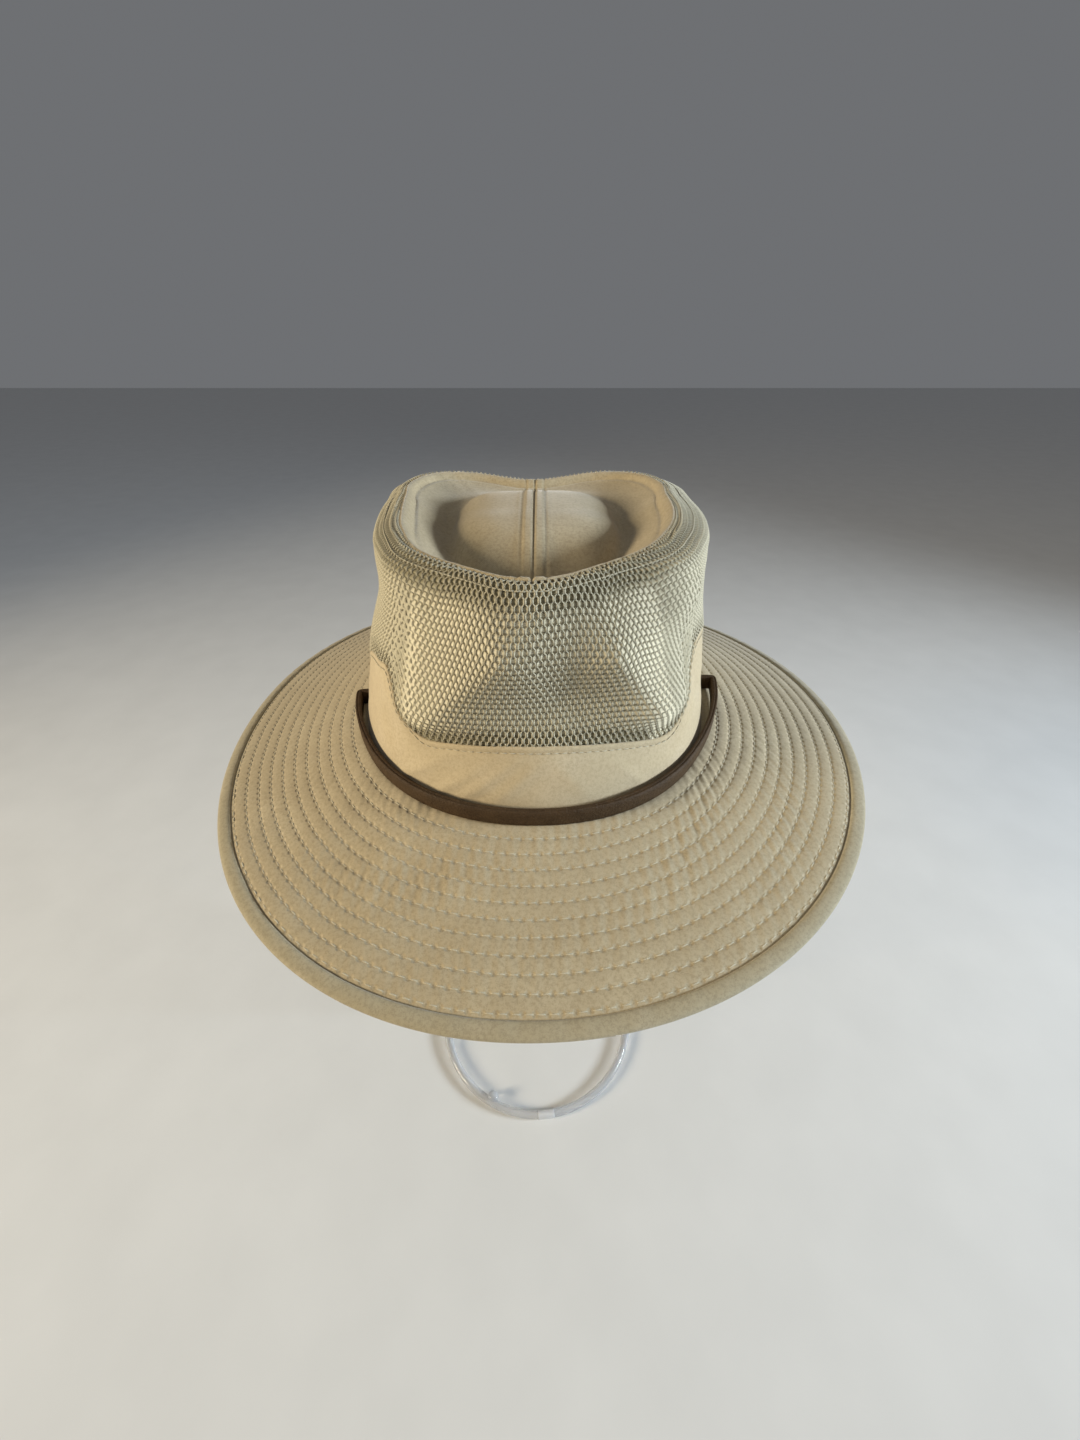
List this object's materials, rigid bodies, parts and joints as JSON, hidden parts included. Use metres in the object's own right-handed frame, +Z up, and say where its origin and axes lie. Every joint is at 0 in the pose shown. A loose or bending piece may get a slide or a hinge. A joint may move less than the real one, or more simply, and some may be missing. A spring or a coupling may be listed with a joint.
{
  "type": "safari hat on clear display stand",
  "caption": "Safari hat with a dented cloth tip, knitted mesh crown, leather band and stitched brim, resting on a clear ring-foot display stand.",
  "frame": {"origin": "on the surface that the stand's ring rests on, below the middle of the whole thing's box", "axes": "+Z is up along the post, -Y is the front of the hat, +X is the hat's left side as worn"},
  "size_m": [0.3222, 0.3514, 0.4225],
  "materials": {
    "tip_cloth": "brushed khaki cotton twill",
    "knitted_mesh": "open knitted mesh of cream yarn",
    "band_cloth": "smooth sand cotton",
    "leather": "matt dark brown leather",
    "brim_cloth": "brushed khaki cotton with rows of stitching",
    "clear_acrylic": "clear polished acrylic"
  },
  "bodies": {
    "root": {"crown_tip": "tip_cloth", "crown_mesh": "knitted_mesh", "crown_band": "band_cloth", "leather_band": "leather", "brim": "brim_cloth", "brim_binding": "brim_cloth", "stand_base_ring": "clear_acrylic", "stand_crossbar": "clear_acrylic", "stand_post": "clear_acrylic", "stand_top": "clear_acrylic"}
  },
  "joints": []
}
